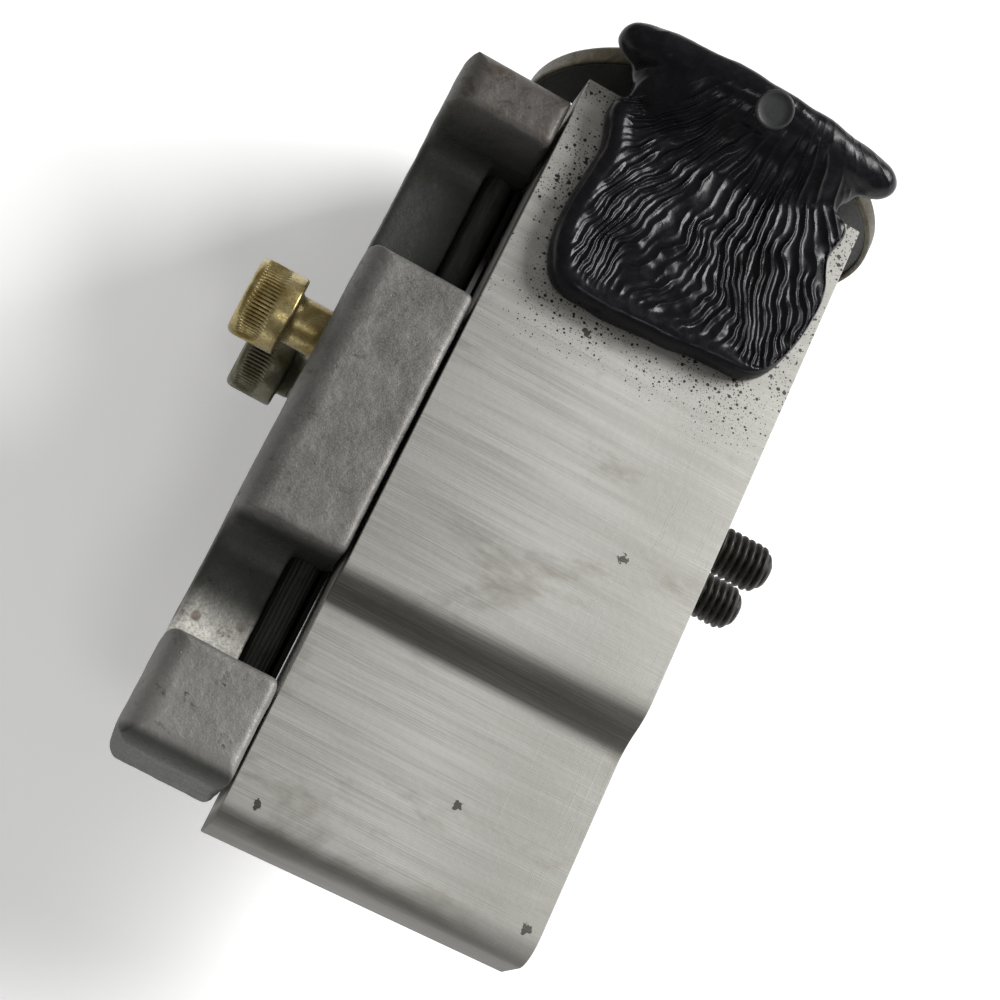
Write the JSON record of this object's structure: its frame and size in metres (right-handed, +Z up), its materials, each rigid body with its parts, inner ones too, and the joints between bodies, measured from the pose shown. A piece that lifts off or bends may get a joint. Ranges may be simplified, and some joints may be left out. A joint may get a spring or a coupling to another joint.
{
  "type": "swivel clamp coupling",
  "caption": "Stepped extruded block with a cast clamp jaw drawn by cap screws, a round flange cup that swivels on its end, and a mastic seal.",
  "frame": {"origin": "on the swivel axis at the back face of the flange cup", "axes": "+Y along the swivel axis, out of the flange away from the clamp; +X from the jaw to the block; +Z up, out of the block's stepped face"},
  "size_m": [0.0966, 0.1474, 0.0688],
  "materials": {
    "extruded_aluminium": "extruded, fine grain lines and scratches",
    "cast_aluminium": "die-cast, matt and pitted",
    "steel": "ground",
    "dark_steel": "oiled, dark",
    "bronze": "turned",
    "yellow_zinc": "yellow zinc plated",
    "olive_zinc": "olive yellow zinc plated, dull",
    "black_mastic": "glossy, wrinkled",
    "black_plastic": "smooth",
    "black_facing": "matt, bonded",
    "felt": "felt"
  },
  "bodies": {
    "block": {"clamp_block": "extruded_aluminium", "thread_insert_upper": "steel", "thread_insert_lower": "steel", "bush_inner": "bronze", "bush_outer": "bronze", "retaining_dowels": "steel", "thrust_race_block": "steel", "grease_seal": "felt", "guide_pin_low": "steel", "guide_pin_top": "steel", "mastic_pad": "black_mastic", "seal_button": "black_plastic"},
    "jaw": {"cast_jaw": "cast_aluminium", "jaw_rod_low": "dark_steel", "jaw_rod_top": "dark_steel", "wear_strip_low": "steel", "wear_strip_top": "steel"},
    "screw_upper": {"clamp_screw_upper": "yellow_zinc"},
    "screw_lower": {"clamp_screw_lower": "yellow_zinc"},
    "cage": {"ball_cage": "bronze", "thrust_balls": "steel"},
    "flange": {"thrust_race_flange": "steel", "swivel_pin": "steel", "face_disc": "black_facing", "flange_cup": "olive_zinc", "drive_dowel": "steel", "lock_washer": "olive_zinc", "flange_nut": "olive_zinc"}
  },
  "joints": [
    {"name": "jaw_travel", "type": "slide", "parent": "block", "child": "jaw", "axis": [-1, 0, 0], "range_m": [-0.0003, 0.006]},
    {"name": "screw_upper_turn", "type": "hinge", "parent": "jaw", "child": "screw_upper", "pos_m": [-0.04, -0.063, 0.0095], "axis": [-1, 0, 0], "range_deg": [-90, 1735]},
    {"name": "screw_lower_turn", "type": "hinge", "parent": "jaw", "child": "screw_lower", "pos_m": [-0.04, -0.063, -0.0125], "axis": [-1, 0, 0], "range_deg": [-90, 1735]},
    {"name": "flange_swivel", "type": "hinge", "parent": "block", "child": "flange", "pos_m": [0, 0, 0], "axis": [0, 1, 0], "continuous": true},
    {"name": "cage_turn", "type": "hinge", "parent": "block", "child": "cage", "pos_m": [0, 0, 0], "axis": [0, 1, 0], "continuous": true}
  ],
  "couplings": [
    {"joint": "screw_upper_turn", "follows": "jaw_travel", "rad_per_m": 5026.5},
    {"joint": "screw_lower_turn", "follows": "jaw_travel", "rad_per_m": 5026.5},
    {"joint": "cage_turn", "follows": "flange_swivel", "ratio": 0.5}
  ]
}
